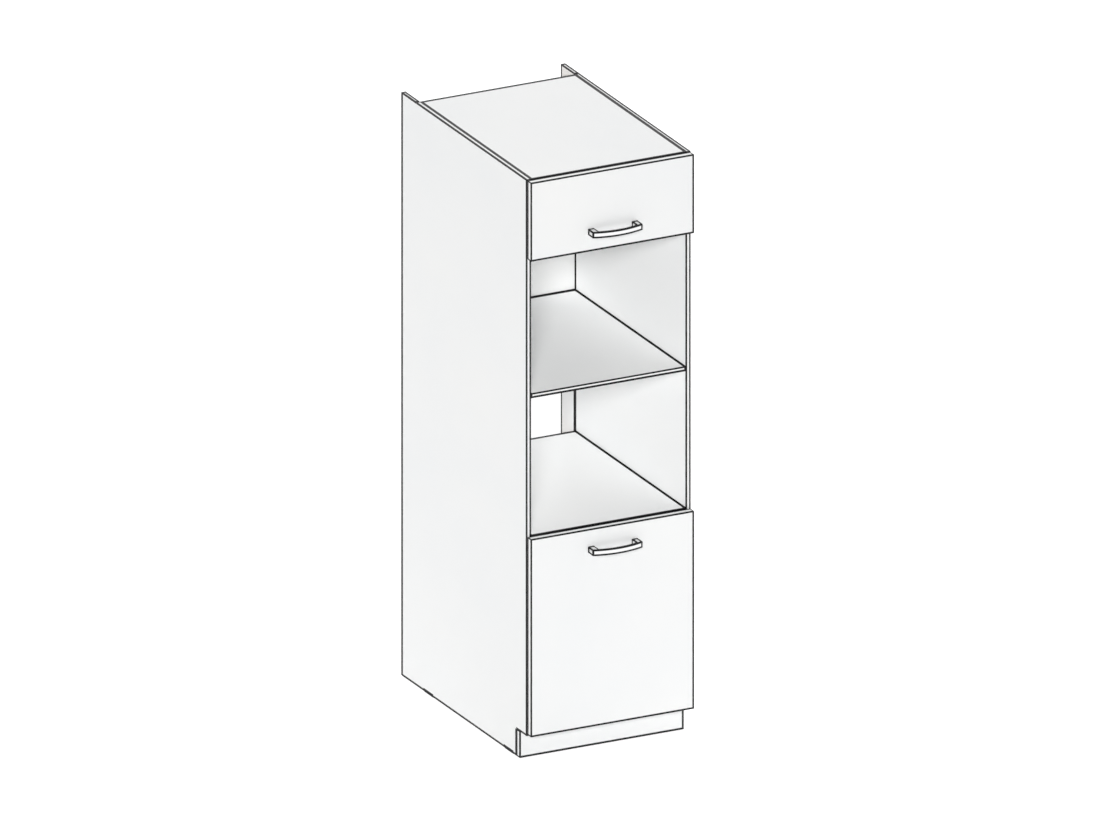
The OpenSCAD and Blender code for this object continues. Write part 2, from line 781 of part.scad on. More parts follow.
// Bores for one cup and its screws
module cup_bores() {
  rod_y([cup_u, front_gap - cut, 0], cup_bore_r, cup_bore_d + cut);
  for (s = [-1, 1]) rod_y([cup_u + cup_screw_at[0], front_gap - cut, s * cup_screw_at[1]],
    cup_screw_r + fit, cup_screw_l + cut);
}

// Board with the two screw holes of its handle
module front_board(z, h, handle_z) {
  difference() {
    eased_span([-front_w / 2, -front_face, z], [front_w / 2, -front_gap, z + h], front_ease);
    both() rod_y([handle_pitch / 2, -front_face - cut, handle_z], handle_bore_r, front_t + 2 * cut);
  }
}

door_handle_z = door_z + door_h - handle_inset;
flap_handle_z = flap_z + handle_inset;

module lower_door() {
  color(white) difference() {
    carcass() front_board(door_z, door_h, door_handle_z);
    at_door_hinges() cup_bores();
  }
}

module upper_flap() {
  color(white) difference() {
    carcass() front_board(flap_z, flap_h, flap_handle_z);
    at_flap_hinges() cup_bores();
    both() at_top(strut_x) for (d = [-flap_screw_u, flap_screw_u])
      rod_y([flap_stud[0] + d, front_gap - cut, strut_bracket_w], cup_screw_r + fit, cup_screw_l + cut);
  }
}

// Bow handle: a bar between two arcs, on a post at each end
module handle(z) {
  seat = -front_face;
  outer_y = seat - post_d;
  bow_r = (pow(bow_l / 2, 2) + pow(bow_rise, 2)) / (2 * bow_rise);
  centre = [0, outer_y - bow_rise + bow_r, z - handle_h / 2];
  difference() {
    intersection() {
      // Disc of the outer arc, chamfered along its rim
      translate(centre) rotate_extrude($fn = 240)
        polygon([[0, 0], [bow_r - handle_ease, 0], [bow_r, handle_ease], [bow_r, handle_h - handle_ease],
          [bow_r - handle_ease, handle_h], [0, handle_h]]);
      // Outline from the front, chamfered at its corners
      translate([-bow_l / 2, seat, z - handle_h / 2]) rotate([90, 0, 0]) linear_extrude(post_d + bow_rise + cut)
        eased_outline(bow_l, handle_h, handle_ease);
    }
    // Space behind the bar and between the posts
    intersection() {
      translate(centre - [0, 0, cut]) cylinder(r = bow_r - bar_t, h = handle_h + 2 * cut, $fn = 240);
      span([post_w - bow_l / 2, outer_y - bow_rise, z - handle_h],
        [bow_l / 2 - post_w, seat + cut, z + handle_h]);
    }
    both() rod_y([handle_pitch / 2, seat - post_d * 0.6, z], handle_screw_r + fit, post_d);
  }
}

module handle_screws(z) {
  both() translate([handle_pitch / 2, -front_gap, z]) rotate([0, 0, 90])
    pan_screw(handle_screw_r, front_t + post_d * 0.5, handle_head_r);
}

module door_handle() { color(satin) carcass() handle(door_handle_z); }
module door_handle_screws() { color(steel) carcass() handle_screws(door_handle_z); }
module flap_handle() { color(satin) carcass() handle(flap_handle_z); }
module flap_handle_screws() { color(steel) carcass() handle_screws(flap_handle_z); }

// Soft discs near the free corners of the fronts
module bumper(x, z) { rod_y([x, -front_gap, z], bumper_r, bumper_t); }

module door_bumpers() {
  color(plastic) carcass() for (z = [door_z + 20, door_z + door_h - 20])
    bumper(-width / 2 + board_t / 2, z);
}

module flap_bumpers() {
  color(plastic) carcass() both() bumper(width / 2 - board_t / 2, flap_z + 20);
}

// Gas struts

// Frame of the right strut: x runs from the root to the flap stud, z towards the middle
module strut_frame() {
  at_top(strut_x) translate([strut_root[0], strut_root[1], 0]) rotate([0, 0, strut_tilt]) children();
}

// Socket that snaps over a ball, open towards the side panel
module socket() {
  difference() {
    union() {
      translate([0, 0, -socket_h / 2]) cylinder(r = socket_r, h = socket_h);
      rod_x([0, 0, 0], neck_r, tube_from + tube_base / 2);
    }
    sphere(r = ball_r + fit);
    translate([0, 0, -socket_h / 2 - cut]) cylinder(r = socket_mouth_r, h = socket_h / 2 + cut);
  }
}

module strut_tube() {
  strut_frame() {
    difference() {
      rod_x([tube_from, 0, 0], tube_r, tube_l);
      rod_x([tube_from + tube_base, 0, 0], tube_bore, tube_l - tube_base - gland_l + gland_step);
      rod_x([tube_from + tube_l - gland_l, 0, 0], rod_r + fit, gland_l + cut);
    }
    socket();
  }
}

// Piston, rod and flat end eye, no wider than the rod beside the cheek of the flap bracket
module strut_rod() {
  strut_frame() {
    rod_x([piston_from, 0, 0], tube_bore - fit, piston_l);
    rod_x([piston_from, 0, 0], rod_r, strut_len - piston_from - rod_end_r + 0.5);
    difference() {
      post([strut_len, 0], rod_end_r, -rod_end_w, rod_end_w);
      post([strut_len, 0], rod_eye_r, -rod_end_w - cut, rod_end_w + cut);
    }
  }
}

module strut_tube_right() { color(black) strut_tube(); }
module strut_tube_left() { color(black) mirror([1, 0, 0]) strut_tube(); }
module strut_rod_right() { color(satin) strut_rod(); }
module strut_rod_left() { color(satin) mirror([1, 0, 0]) strut_rod(); }

// Plate on the side panel with a ball stud
module strut_side_brackets() {
  color(steel) both() at_top(strut_x) {
    difference() {
      bar(strut_root - [strut_plate_w, 0], strut_root + [strut_plate_w, 0], strut_plate_r, -strut_off,
        strut_plate_t - strut_off);
      for (d = [-strut_plate_w, strut_plate_w])
        post(strut_root + [d, 0], euro_r + fit, -strut_off - cut, strut_plate_t - strut_off + cut);
    }
    post(strut_root, stud_r, strut_plate_t / 2 - strut_off, 0);
    translate([strut_root[0], strut_root[1], 0]) sphere(r = ball_r);
  }
}

module strut_side_screws() {
  color(dark_steel) both() at_top(strut_x) for (d = [-strut_plate_w, strut_plate_w])
    translate([strut_root[0] + d, strut_root[1], strut_plate_t - strut_off]) rotate([0, -90, 0])
      pan_screw(euro_r, euro_l + strut_plate_t, euro_head_r);
}

// Angle on the flap, whose cheek stands beside the rod end
cheek_w = rod_end_w + gap;
strut_bracket_w = cheek_w + flap_screw_in;

module strut_flap_brackets() {
  u = flap_stud[0];
  f = front_gap;
  color(steel) both() at_top(strut_x) difference() {
    union() {
      span([u - flap_plate_l / 2, f - flap_plate_t, cheek_w],
        [u + flap_plate_l / 2, f, strut_bracket_w + flap_plate_w]);
      bar(flap_stud, [u, f - cheek_out], cheek_r, cheek_w, cheek_w + cheek_t);
    }
    span([u - flap_plate_l, f, cheek_w - cut],
      [u + flap_plate_l, f + 2 * cheek_r, strut_bracket_w + flap_plate_w]);
    post(flap_stud, stud_r, cheek_w - cut, cheek_w + cheek_t + cut);
    for (d = [-flap_screw_u, flap_screw_u])
      rod_y([u + d, f - flap_plate_t - cut, strut_bracket_w], cup_screw_r + fit, flap_plate_t + 2 * cut);
  }
}

module strut_flap_screws() {
  color(dark_steel) both() at_top(strut_x) for (d = [-flap_screw_u, flap_screw_u])
    translate([flap_stud[0] + d, front_gap - flap_plate_t, strut_bracket_w]) rotate([0, 0, -90])
      pan_screw(cup_screw_r, cup_screw_l, cup_head_r);
}

side_left();
side_right();
top_panel();
flap_floor();
middle_shelf();
niche_floor();
bottom_panel();
plinth_board();
upper_back();
lower_back();
lower_shelf();
shelf_pins();
cams();
cam_bolts();
dowels();
glides();
plinth_blocks();
plinth_screws();
wall_brackets();
wall_bracket_screws();
door_hinge_plates();
door_hinge_arms();
door_hinge_pins();
door_plate_screws();
flap_hinge_plates();
flap_hinge_arms();
flap_hinge_pins();
flap_plate_screws();
strut_side_brackets();
strut_side_screws();
lower_door();
door_handle();
door_handle_screws();
door_hinge_cups();
door_cup_pins();
door_cup_screws();
door_bumpers();
upper_flap();
flap_handle();
flap_handle_screws();
flap_hinge_cups();
flap_cup_pins();
flap_cup_screws();
flap_bumpers();
strut_flap_brackets();
strut_flap_screws();
door_outer_links();
door_inner_links();
flap_outer_links();
flap_inner_links();
strut_tube_left();
strut_tube_right();
strut_rod_left();
strut_rod_right();
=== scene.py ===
import math

import bpy
from mathutils import Matrix, Vector

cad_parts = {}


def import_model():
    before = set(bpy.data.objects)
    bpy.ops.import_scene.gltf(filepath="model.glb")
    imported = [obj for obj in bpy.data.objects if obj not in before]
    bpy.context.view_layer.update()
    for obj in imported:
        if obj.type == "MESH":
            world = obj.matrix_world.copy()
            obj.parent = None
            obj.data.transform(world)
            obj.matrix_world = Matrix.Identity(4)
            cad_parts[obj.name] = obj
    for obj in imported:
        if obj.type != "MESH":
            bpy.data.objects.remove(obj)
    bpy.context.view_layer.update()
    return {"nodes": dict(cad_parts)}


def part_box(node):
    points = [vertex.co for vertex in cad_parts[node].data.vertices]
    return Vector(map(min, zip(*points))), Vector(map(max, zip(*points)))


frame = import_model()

nodes = frame["nodes"]

# Sizes of the CAD part that no box of a node tells, in metres: a glide, and the post, bow and bar of a handle
GLIDE_LENGTH = 0.043
POST_WIDTH = 0.021
BOW_RISE = 0.010
BAR_THICKNESS = 0.005

# Planes and places in the frame of the CAD part: x to the right, y to the rear, z up
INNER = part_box("side_right")[0].x
NOTCH_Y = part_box("plinth_board")[1].y
NOTCH_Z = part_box("plinth_board")[1].z
GROOVE_Y = (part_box("upper_back")[0].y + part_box("upper_back")[1].y) / 2
GROOVE_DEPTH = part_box("upper_back")[1].x - INNER
GLIDES_Y = (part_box("glides")[0].y + GLIDE_LENGTH / 2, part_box("glides")[1].y - GLIDE_LENGTH / 2)
DECKS = ("top_panel", "flap_floor", "middle_shelf", "niche_floor", "bottom_panel")
BOLD_DECKS = ("top_panel", "niche_floor")
SEATS = [(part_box(deck)[0].z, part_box(deck)[1].z) for deck in DECKS]

# What still counts as lying on a plane, and the margins of the masks for the groove and the handle
ON_PLANE = 0.0006
GROOVE_MARGIN = 0.001
BAR_MARGIN = 0.0001
BEHIND_BOW = 0.001
# A distance so long that no line is drawn
FAR = 1.0
# How much of the normal lies along an axis where a face looks that way, and where it looks squarely that way
FACING = 0.5
SQUARE = 0.9

# How far the drawn lines reach inwards from an edge: on the faces of a board, on its narrow edges, round a
# back panel, along a handle and at the inner corners of its posts
LINE = 0.0075
EDGE_LINE = 0.0060
PANEL_LINE = 0.0045
HANDLE_LINE = 0.0068
POST_LINE = 0.00476
# How far they reach to both sides of the face of a deck, where boards meet, and of the middle of the groove
SEAT_LINE = 0.0026
GROOVE_LINE = 0.0062
# A line fades out between two shares of its reach, and its edge is uneven by a distance
FADE_START = 0.85
FADE_END = 1.1
UNEVEN = 0.00012

# A line is finer where its distance is taken times a factor above 1, and wider where it is below 1. As in a
# shaded outline drawing, most lines along left, front and upper edges are finer.
FINE = 1.7
PLAIN = 1.0
WIDE = 0.77
# The factors at the low and the high plane of each axis, by kind of board
FINENESS = {
    "deck": {"x": (0.9, 0.9), "y": (FINE, 0.9), "z": (WIDE, FINE)},
    "bold deck": {"x": (0.9, 0.9), "y": (FINE, 0.9), "z": (WIDE, PLAIN)},
    "front": {"x": (2.0, PLAIN), "y": (FINE, 1.25), "z": (PLAIN, FINE)},
    "other": {"x": (FINE, PLAIN), "y": (FINE, PLAIN), "z": (PLAIN, FINE)},
}
# The factors of the two sides at single edges, of the dash over a glide and of the upper edge of a handle
LEFT_TOP_OUTER = 1.05
RIGHT_TOP_INNER = 1.3
LEFT_REAR = 0.95
RIGHT_REAR = 1.35
GLIDE_DASH = 0.7
HANDLE_TOP = 1.35

# Edges left uncoated, as the axis and the side of the board that they close
REAR_EDGE = ("y", 1)
FOOT_EDGE = ("z", -1)

# The colours of the coating and of the lines, and how strongly the specks of the coating show
WHITE = (0.90, 0.902, 0.896)
COOL_WHITE = [part * share for part, share in zip(WHITE, (0.972, 0.98, 0.99))]
DARK = (0.006, 0.006, 0.007)
SPECK_AMOUNT = 0.05

# The studio: half the side of the floor, the glow that makes it white to the camera, the light from all
# round, how far off the lamps are put, and two colours of light with their alpha
FLOOR_HALF = 14.0
FLOOR_GLOW = 0.54
AMBIENT = 0.12
LAMP_DISTANCE = 6.0
WHITE_LIGHT = (1.0, 1.0, 1.0, 1.0)
COOL_LIGHT = (0.98, 0.99, 1.0, 1.0)

# The drawing's view. The width of the object runs up to the right and its depth down to the right, in degrees
# from level. The camera shows this much width round this centre, from this far, and sees as far as its reach.
WIDTH_ANGLE = 10.0
DEPTH_ANGLE = 35.0
VIEW_WIDTH = 3.4698
VIEW_CENTRE = Vector((0.0, 0.00725, 1.067))
VIEW_DISTANCE = 12.0
VIEW_REACH = 60.0

# The colour sockets of a Mix node, which shares their names among several kinds
MIX_AMOUNT, MIX_FIRST, MIX_SECOND, MIX_RESULT = 0, 6, 7, 2


class Shader:
    """A Principled material with short calls for its nodes. A value is a socket or a number.

    x, y and z are the place of a point in the CAD frame at rest, and facing is the way its surface looks."""

    def __init__(self, name, **values):
        self.material = bpy.data.materials.new(name)
        self.material.use_nodes = True
        self.tree = self.material.node_tree
        self.tree.nodes.clear()
        out = self.tree.nodes.new("ShaderNodeOutputMaterial")
        self.bsdf = self.tree.nodes.new("ShaderNodeBsdfPrincipled")
        self.tree.links.new(self.bsdf.outputs[0], out.inputs[0])
        for socket, value in values.items():
            self.set(socket.replace("_", " "), value)
        self.coords = self.tree.nodes.new("ShaderNodeTexCoord")
        place = self.tree.nodes.new("ShaderNodeSeparateXYZ")
        self.tree.links.new(self.coords.outputs["Object"], place.inputs[0])
        self.x, self.y, self.z = place.outputs
        facing = self.tree.nodes.new("ShaderNodeSeparateXYZ")
        self.tree.links.new(self.coords.outputs["Normal"], facing.inputs[0])
        self.facing = dict(zip("xyz", facing.outputs))

    def put(self, socket, value):
        """Links a socket to an input, or sets the input to a number or colour."""
        if isinstance(value, bpy.types.NodeSocket):
            self.tree.links.new(value, socket)
        else:
            socket.default_value = value

    def set(self, name, value):
        self.put(self.bsdf.inputs[name], value)

    def math(self, operation, *values):
        node = self.tree.nodes.new("ShaderNodeMath")
        node.operation = operation
        for socket, value in zip(node.inputs, values):
            self.put(socket, value)
        return node.outputs[0]

    def chain(self, operation, first, others):
        for other in others:
            first = self.math(operation, first, other)
        return first

    def least(self, first, *others):
        return self.chain("MINIMUM", first, others)

    def most(self, first, *others):
        return self.chain("MAXIMUM", first, others)

    def product(self, first, *others):
        return self.chain("MULTIPLY", first, others)

    def average(self, first, second):
        return self.product(self.math("ADD", first, second), 0.5)

    def absolute(self, value):
        return self.math("ABSOLUTE", value)

    def gap(self, first, second):
        return self.absolute(self.math("SUBTRACT", first, second))

    def above(self, value, limit):
        """1 where a value is above a limit, else 0."""
        return self.math("GREATER_THAN", value, limit)

    def below(self, value, limit):
        """1 where a value is below a limit, else 0."""
        return self.math("LESS_THAN", value, limit)

    def opposite(self, mask):
        return self.math("SUBTRACT", 1.0, mask)

    def ramp(self, value, low, high, out_low=0.0, out_high=1.0):
        """A value taken from one range to another, and held at its ends."""
        node = self.tree.nodes.new("ShaderNodeMapRange")
        for socket, item in zip(node.inputs, (value, low, high, out_low, out_high)):
            self.put(socket, item)
        return node.outputs[0]

    def choose(self, mask, chosen, other):
        """One value where the mask is 1, the other where it is 0."""
        return self.ramp(mask, 0.0, 1.0, other, chosen)

    def spread(self, noise, out_low=0.0, out_high=1.0, span=(0.3, 0.7)):
        """Noise taken from the span where it mostly lies to a range."""
        return self.ramp(noise, *span, out_low, out_high)

    def faces(self, axis, sign=1, limit=FACING):
        """1 where the surface looks along an axis, to its high or low side."""
        return self.above(self.product(self.facing[axis], sign), limit)

    def stretched(self, scale, offset=(0, 0, 0)):
        node = self.tree.nodes.new("ShaderNodeMapping")
        self.tree.links.new(self.coords.outputs["Object"], node.inputs["Vector"])
        node.inputs["Scale"].default_value = scale
        node.inputs["Location"].default_value = offset
        return node.outputs[0]

    def noise(self, scale, detail=2.0, rough=0.5, vector=None):
        node = self.tree.nodes.new("ShaderNodeTexNoise")
        self.put(node.inputs["Vector"], vector or self.coords.outputs["Object"])
        for name, value in (("Scale", scale), ("Detail", detail), ("Roughness", rough)):
            node.inputs[name].default_value = value
        return node.outputs[0]

    def cells(self, scale, vector=None, output="Distance"):
        node = self.tree.nodes.new("ShaderNodeTexVoronoi")
        self.put(node.inputs["Vector"], vector or self.coords.outputs["Object"])
        node.inputs["Scale"].default_value = scale
        return node.outputs[output]

    def grey(self, colour):
        node = self.tree.nodes.new("ShaderNodeRGBToBW")
        self.put(node.inputs[0], colour)
        return node.outputs[0]

    def mix(self, amount, first, second):
        """Mix of two colours, each a socket or three numbers."""
        node = self.tree.nodes.new("ShaderNodeMix")
        node.data_type = "RGBA"
        self.put(node.inputs[MIX_AMOUNT], amount)
        for index, colour in ((MIX_FIRST, first), (MIX_SECOND, second)):
            if not isinstance(colour, bpy.types.NodeSocket):
                colour = (*colour, 1.0)
            self.put(node.inputs[index], colour)
        return node.outputs[MIX_RESULT]

    def bump(self, *layers):
        """Layers of (height socket, distance in metres, strength)."""
        normal = None
        for height, distance, strength in layers:
            node = self.tree.nodes.new("ShaderNodeBump")
            node.inputs["Strength"].default_value = strength
            node.inputs["Distance"].default_value = distance
            self.put(node.inputs["Height"], height)
            if normal:
                self.put(node.inputs["Normal"], normal)
            normal = node.outputs[0]
        self.set("Normal", normal)

    def off(self, axis, plane, times=PLAIN):
        """Distance from a plane across an axis, times a factor."""
        distance = self.gap(getattr(self, axis), plane)
        return distance if times == PLAIN else self.product(distance, times)

    def inside(self, axis, low, high, low_times=PLAIN, high_times=PLAIN):
        """Distance from the nearer of two planes across an axis."""
        return self.least(self.off(axis, low, low_times), self.off(axis, high, high_times))

    def middle(self, first, second, third):
        """The second smallest of three distances: how far a point of the surface is from an edge."""
        return self.most(self.least(first, second), self.least(self.most(first, second), third))

    def stroke(self, distance, reach=LINE):
        """1 where a distance is within the reach of a line, else 0, with a slightly uneven edge."""
        uneven = self.spread(self.noise(90, 2), -UNEVEN, UNEVEN, span=(0.2, 0.8))
        return self.ramp(self.math("ADD", distance, uneven), reach * FADE_END, reach * FADE_START)


def darker(colour, share):
    return [part * share for part in colour]


def side_edges(shader, low, high, inward):
    """Distances from the edges of a side across x, y and z. On the top edge most of its lines are wider."""
    on_top = shader.faces("z")
    if inward > 0:
        # The inner line of the left side is fine where it runs beside the top panel
        beside = shader.below(shader.y, GROOVE_Y)
        inner_line = shader.off("x", high.x, shader.choose(beside, FINE, WIDE))
        above = shader.least(shader.off("x", low.x, LEFT_TOP_OUTER), inner_line)
        rear = LEFT_REAR
    else:
        above = shader.inside("x", low.x, high.x, RIGHT_TOP_INNER, WIDE)
        rear = RIGHT_REAR
    x = shader.choose(on_top, above, shader.inside("x", low.x, high.x, FINE, PLAIN))
    # The notch for the plinth board shifts the front plane and the bottom plane
    front = shader.choose(shader.below(shader.z, NOTCH_Z), NOTCH_Y, low.y)
    foot = shader.choose(shader.below(shader.y, NOTCH_Y), NOTCH_Z, low.z)
    y = shader.least(shader.off("y", front, FINE), shader.off("y", high.y, shader.choose(on_top, WIDE, rear)))
    # Over each glide the lower line is a heavier dash
    to_glide = shader.least(*(shader.off("y", middle) for middle in GLIDES_Y))
    dash = shader.choose(shader.below(to_glide, GLIDE_LENGTH / 2), GLIDE_DASH, PLAIN)
    z = shader.least(shader.off("z", foot, dash), shader.off("z", high.z, FINE))
    return x, y, z


def seat_lines(shader, inward):
    """Lines where the decks meet a side, and the dark groove for the back panels."""
    to_seat = shader.least(*(shader.inside("z", *seat) for seat in SEATS))
    before_groove = shader.below(shader.y, GROOVE_Y)
    seats = shader.product(shader.stroke(to_seat, SEAT_LINE), before_groove, shader.faces("x", inward))
    # The groove is dark inside too, and a short line marks its end on the top edge
    in_groove = shader.below(shader.absolute(shader.x), INNER + GROOVE_DEPTH + GROOVE_MARGIN)
    dark = shader.stroke(shader.off("y", GROOVE_Y), GROOVE_LINE)
    return shader.most(seats, shader.product(dark, shader.most(in_groove, shader.faces("z"))))


def raw_edges(shader, low, high, raw):
    """1 on the uncoated edges of a board, else 0."""
    masks = []
    for axis, sign in raw:
        plane = getattr(high if sign > 0 else low, axis)
        on_plane = shader.below(shader.off(axis, plane), ON_PLANE)
        masks.append(shader.product(shader.faces(axis, sign, SQUARE), on_plane))
    return shader.most(*masks)


def board(name, kind="other", raw=(), inward=0, seed=0.0):
    """Coated chipboard: satin melamine, a thin dark line along each arris and raw chip at hidden edges.

    A side has inward 1 or -1, the way its inner face looks along x. The seed moves the clouds of tone."""
    low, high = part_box(name)
    shader = Shader(f"coated_board_{name}", Specular_IOR_Level=0.14)
    if inward:
        distances = side_edges(shader, low, high, inward)
    else:
        distances = [shader.inside(axis, getattr(low, axis), getattr(high, axis), *times)
                     for axis, times in FINENESS[kind].items()]
    # The lines are finer on the narrow edges than on the two faces
    thin = min("xyz", key=lambda axis: getattr(high, axis) - getattr(low, axis))
    on_face = shader.most(shader.faces(thin, 1), shader.faces(thin, -1))
    times = shader.choose(on_face, PLAIN, LINE / EDGE_LINE)
    line = shader.stroke(shader.product(shader.middle(*distances), times))
    if inward:
        line = shader.most(line, seat_lines(shader, inward))
    # Large soft clouds of tone, faint specks and the pearl grain of the coating
    cloud = shader.spread(shader.noise(2.3, 3, 0.55, shader.stretched((1, 1, 1), (seed, 0, 0))))
    speck = shader.ramp(shader.cells(180), 0.05, 0.12, SPECK_AMOUNT, 0.0)
    colour = shader.mix(speck, shader.mix(cloud, COOL_WHITE, WHITE), darker(WHITE, 0.75))
    rough = shader.spread(shader.noise(14, 4, 0.6), 0.3, 0.42)
    heights = [(shader.noise(620, 3, 0.6), 0.00004, 0.35)]
    if raw:
        bare = raw_edges(shader, low, high, raw)
        chips = shader.grey(shader.cells(330, shader.stretched((1, 1, 0.55)), "Color"))
        flake = shader.average(chips, shader.noise(900, 3, 0.7))
        tan = shader.mix(flake, (0.30, 0.205, 0.12), (0.66, 0.53, 0.37))
        colour = shader.mix(bare, colour, tan)
        rough = shader.math("ADD", rough, shader.product(bare, 0.45))
        heights.append((shader.product(flake, bare), 0.0006, 0.6))
    shader.set("Base Color", shader.mix(line, colour, DARK))
    shader.set("Roughness", shader.math("ADD", rough, shader.product(line, -0.08)))
    shader.bump(*heights)
    return shader.material


def hardboard(name):
    """Thin back panel: white lacquer inside, raw fibre behind, and a line where it meets decks and sides."""
    low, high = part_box(name)
    shader = Shader(f"hardboard_{name}", Specular_IOR_Level=0.35)
    behind = shader.faces("y")
    to_board = shader.least(shader.inside("x", -INNER, INNER), *(shader.inside("z", *seat) for seat in SEATS))
    meeting = shader.product(shader.stroke(to_board, SEAT_LINE), shader.opposite(behind))
    to_edge = shader.middle(*(shader.inside(axis, getattr(low, axis), getattr(high, axis)) for axis in "xyz"))
    line = shader.most(meeting, shader.stroke(to_edge, PANEL_LINE))
    cloud = shader.spread(shader.noise(3.1, 3, 0.5))
    lacquer = shader.mix(cloud, darker(WHITE, 0.965), WHITE)
    strands = shader.noise(240, 6, 0.75, shader.stretched((1, 1, 0.35)))
    fibre = shader.average(strands, shader.noise(38, 3, 0.6))
    brown = shader.mix(shader.spread(fibre, span=(0.36, 0.64)), (0.29, 0.185, 0.105), (0.47, 0.33, 0.205))
    shader.set("Base Color", shader.mix(line, shader.mix(behind, lacquer, brown), DARK))
    shader.set("Roughness", shader.choose(behind, 0.72, 0.42))
    shader.bump((shader.noise(420, 3, 0.6), 0.00006, 0.4), (shader.product(fibre, behind), 0.0004, 0.5))
    return shader.material


def handle_metal(name):
    """Satin handle, brushed along its length, with a darker line along each arris."""
    low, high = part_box(name)
    shader = Shader(f"satin_metal_{name}", Metallic=0.85, Specular_IOR_Level=0.5)
    # The front and the rear of the bar are arcs round one centre
    radius = (high.x ** 2 + BOW_RISE ** 2) / (2 * BOW_RISE)
    behind = shader.math("SUBTRACT", shader.y, low.y + radius)
    squares = shader.math("ADD", shader.product(shader.x, shader.x), shader.product(behind, behind))
    from_centre = shader.math("SQRT", squares)
    to_front = shader.gap(from_centre, radius)
    to_rear = shader.gap(from_centre, radius - BAR_THICKNESS)
    # The rear arc ends at the posts, which stand on the seat
    from_middle = shader.absolute(shader.x)
    post_inside = high.x - POST_WIDTH
    on_bar = shader.below(from_middle, post_inside + BAR_MARGIN)
    to_rear_arc = shader.math("ADD", to_rear, shader.choose(on_bar, 0.0, FAR))
    to_seat = shader.off("y", high.y)
    bow = shader.least(shader.product(to_front, FINE), to_rear_arc, to_seat)
    ends = shader.inside("x", low.x, high.x, low_times=FINE)
    tops = shader.inside("z", low.z, high.z, high_times=HANDLE_TOP)
    line = shader.stroke(shader.middle(ends, bow, tops), HANDLE_LINE)
    # The inner corners of the posts, which only show behind the bar
    corner = shader.most(shader.gap(from_middle, post_inside), shader.least(tops, to_seat))
    post_line = shader.product(shader.stroke(corner, POST_LINE), shader.above(to_front, BEHIND_BOW))
    line = shader.most(line, post_line)
    brushed = shader.noise(1, 4, 0.65, shader.stretched((160, 5200, 5200)))
    colour = shader.mix(shader.spread(brushed), (0.70, 0.705, 0.71), (0.82, 0.82, 0.815))
    shader.set("Base Color", shader.mix(line, colour, DARK))
    shader.set("Roughness", shader.spread(brushed, 0.26, 0.40, span=(0.25, 0.75)))
    shader.bump((brushed, 0.00003, 0.35))
    return shader.material


def plated(name, low_colour, high_colour, rough, relief=0.3):
    """Zinc or nickel plate or polished steel: mottled tone, fine scratches and an uneven gloss."""
    shader = Shader(name, Metallic=1.0)
    mottle = shader.spread(shader.noise(260, 4, 0.6))
    scratch = shader.noise(1, 3, 0.6, shader.stretched((900, 900, 7000)))
    shader.set("Base Color", shader.mix(mottle, low_colour, high_colour))
    shader.set("Roughness", shader.spread(shader.average(mottle, scratch), *rough, span=(0.2, 0.8)))
    shader.bump((scratch, 0.00002, relief))
    return shader.material


def moulded(name, colour, rough=(0.38, 0.52)):
    """Moulded plastic with a fine spark-eroded grain."""
    shader = Shader(name, Specular_IOR_Level=0.45)
    cloud = shader.spread(shader.noise(60, 3, 0.55))
    shader.set("Base Color", shader.mix(cloud, darker(colour, 0.93), colour))
    shader.set("Roughness", shader.spread(shader.noise(300, 3, 0.6), *rough))
    shader.bump((shader.noise(2600, 2, 0.5), 0.00005, 0.3))
    return shader.material


def beech():
    """Fluted dowel wood, with its grain along the dowel."""
    shader = Shader("beech_dowel", Specular_IOR_Level=0.35)
    grain = shader.noise(1, 5, 0.7, shader.stretched((60, 1400, 1400)))
    shader.set("Base Color", shader.mix(shader.spread(grain), (0.50, 0.33, 0.18), (0.74, 0.56, 0.36)))
    shader.set("Roughness", shader.spread(grain, 0.5, 0.7))
    shader.bump((grain, 0.0002, 0.4))
    return shader.material


def black_lacquer():
    """Black satin lacquer of the strut tubes, hazy in patches from handling."""
    shader = Shader("black_lacquer", Specular_IOR_Level=0.5, Coat_Weight=0.25, Coat_Roughness=0.18)
    haze = shader.spread(shader.noise(45, 4, 0.6), span=(0.35, 0.75))
    shader.set("Base Color", shader.mix(haze, (0.012, 0.012, 0.013), (0.034, 0.034, 0.036)))
    shader.set("Roughness", shader.spread(shader.noise(160, 3, 0.6), 0.28, 0.46))
    shader.bump((shader.noise(1500, 2, 0.5), 0.00004, 0.3))
    return shader.material


def dress(name, material):
    """Gives a node one material in every slot."""
    piece = nodes[name]
    if not piece.material_slots:
        piece.data.materials.append(material)
    for slot in piece.material_slots:
        slot.material = material


def both(*parts):
    """The names of parts that the door and the flap have alike."""
    return [f"{front}_{part}" for front in ("door", "flap") for part in parts]


def dress_boards_and_handles():
    """Gives each board, back panel and handle a material of its own."""
    for name, inward in (("side_left", 1), ("side_right", -1)):
        dress(name, board(name, raw=(REAR_EDGE, FOOT_EDGE), inward=inward, seed=1.5 * inward))
    for index, name in enumerate(DECKS):
        kind = "bold deck" if name in BOLD_DECKS else "deck"
        dress(name, board(name, kind, raw=(REAR_EDGE,), seed=7.3 + index))
    dress("lower_shelf", board("lower_shelf", raw=(REAR_EDGE,), seed=17.0))
    dress("plinth_board", board("plinth_board", raw=(FOOT_EDGE,), seed=21.0))
    dress("lower_door", board("lower_door", "front", seed=25.0))
    dress("upper_flap", board("upper_flap", "front", seed=29.0))
    for name in ("upper_back", "lower_back"):
        dress(name, hardboard(name))
    for name in both("handle"):
        dress(name, handle_metal(name))


